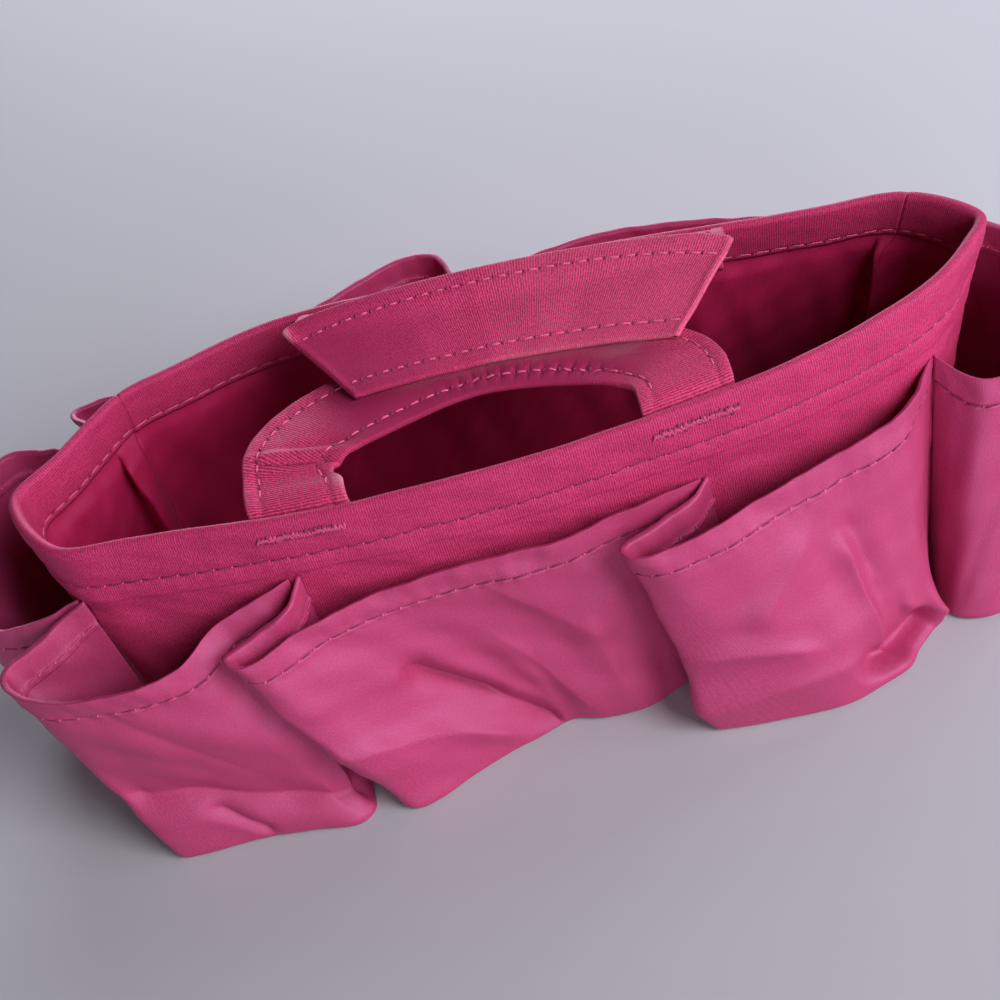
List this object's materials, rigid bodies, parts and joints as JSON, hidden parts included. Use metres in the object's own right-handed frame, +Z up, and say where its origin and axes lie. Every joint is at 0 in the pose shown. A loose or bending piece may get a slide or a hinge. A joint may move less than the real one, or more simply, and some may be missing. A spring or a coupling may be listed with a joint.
{
  "type": "purse organizer",
  "caption": "Soft fabric insert for a handbag: an open tub with a stiffened base, pleated slip pockets sewn all round the outside, and strap handles that fold in over the rim.",
  "frame": {"origin": "middle of the base's underside", "axes": "+Z up out of the open top, +X along the tub to its right end, -Y the front"},
  "size_m": [0.3159, 0.1598, 0.1007],
  "materials": {
    "outer_fabric": "fine satin twill with a soft sheen",
    "lining_fabric": "smooth silky lining",
    "strap_fabric": "satin strap with a row of stitches along each edge",
    "stiffening_felt": "matt felt",
    "base_board": "plain thin board",
    "sewing_thread": "dense satin-stitched thread"
  },
  "bodies": {
    "bag": {"base_outer_panel": "outer_fabric", "outer_front_panel": "outer_fabric", "outer_back_panel": "outer_fabric", "rim_facing_front": "outer_fabric", "rim_facing_back": "outer_fabric", "pocket_front_left": "outer_fabric", "pocket_front_middle": "outer_fabric", "pocket_front_right": "outer_fabric", "pocket_right_end": "outer_fabric", "pocket_back_right": "outer_fabric", "pocket_back_left": "outer_fabric", "pocket_left_end": "outer_fabric", "base_lining": "lining_fabric", "lining_front": "lining_fabric", "lining_back": "lining_fabric", "front_handle_left_tab": "strap_fabric", "front_handle_right_tab": "strap_fabric", "back_handle_left_tab": "strap_fabric", "back_handle_right_tab": "strap_fabric", "interlining_front": "stiffening_felt", "interlining_back": "stiffening_felt", "base_board": "base_board", "front_left_bar_tack": "sewing_thread", "front_right_bar_tack": "sewing_thread", "back_left_bar_tack": "sewing_thread", "back_right_bar_tack": "sewing_thread"},
    "front_handle": {"front_handle_strap": "strap_fabric", "front_handle_core": "stiffening_felt"},
    "back_handle_legs": {"back_handle_left_leg": "strap_fabric", "back_handle_right_leg": "strap_fabric", "back_handle_left_leg_core": "stiffening_felt", "back_handle_right_leg_core": "stiffening_felt"},
    "back_handle_grip": {"back_handle_grip": "strap_fabric", "back_handle_grip_core": "stiffening_felt"}
  },
  "joints": [
    {"name": "front_handle_swing", "type": "hinge", "parent": "bag", "child": "front_handle", "pos_m": [0.001, -0.03124, 0.0904], "axis": [1, 0, 0], "range_deg": [0, 88]},
    {"name": "back_handle_swing", "type": "hinge", "parent": "bag", "child": "back_handle_legs", "pos_m": [0.018, 0.03157, 0.0904], "axis": [-0.9922, 0.125, 0], "range_deg": [0, 123]},
    {"name": "back_grip_unfold", "type": "hinge", "parent": "back_handle_legs", "child": "back_handle_grip", "pos_m": [0.01585, 0.01449, 0.09843], "axis": [-0.9922, 0.125, 0], "range_deg": [0, 40.6]}
  ],
  "couplings": [
    {"joint": "back_handle_swing", "follows": "front_handle_swing", "ratio": 1.3977},
    {"joint": "back_grip_unfold", "follows": "front_handle_swing", "ratio": 0.4613}
  ]
}
